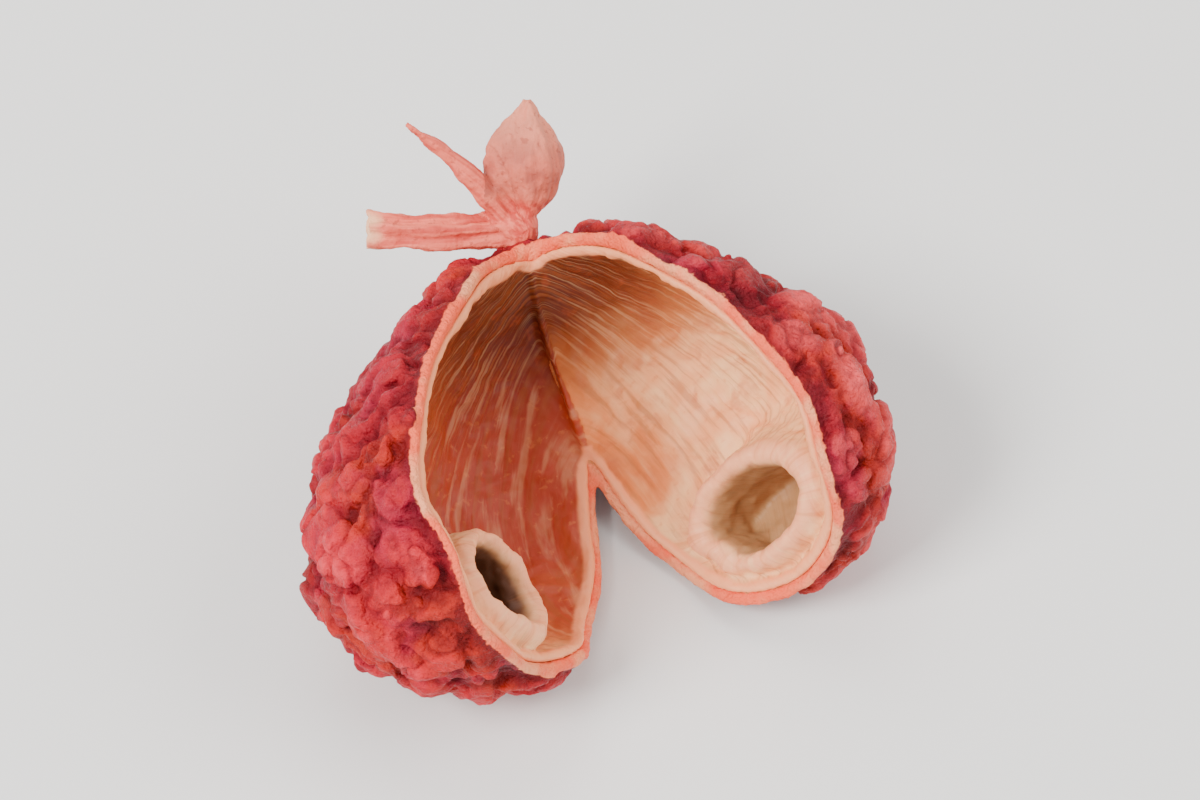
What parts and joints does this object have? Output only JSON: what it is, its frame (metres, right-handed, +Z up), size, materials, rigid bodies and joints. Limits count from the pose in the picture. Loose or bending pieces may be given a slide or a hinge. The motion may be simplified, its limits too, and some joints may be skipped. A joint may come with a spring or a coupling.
{
  "type": "sichuan peppercorn",
  "caption": "Dried Sichuan peppercorn: a warty red husk split open into two joined valves, with a curled papery lining and a short stalk.",
  "frame": {"origin": "middle of the part's box in X and Y, on the surface that it lies on", "axes": "+Z up out of the opening's side, +Y towards the stalk end, -Y towards the two tips, +X across the two valves"},
  "size_m": [0.005, 0.0042, 0.003],
  "materials": {
    "husk_skin": "dry warty rind, crimson to pink with orange patches, faint oily gloss on the warts",
    "lining_paper": "thin papery cream, amber where it is deep, slightly glossy",
    "stalk_wood": "dry pinkish tan, finely ridged, matt"
  },
  "bodies": {
    "root": {"husk": "husk_skin", "lining": "lining_paper", "stalk": "stalk_wood"}
  },
  "joints": []
}
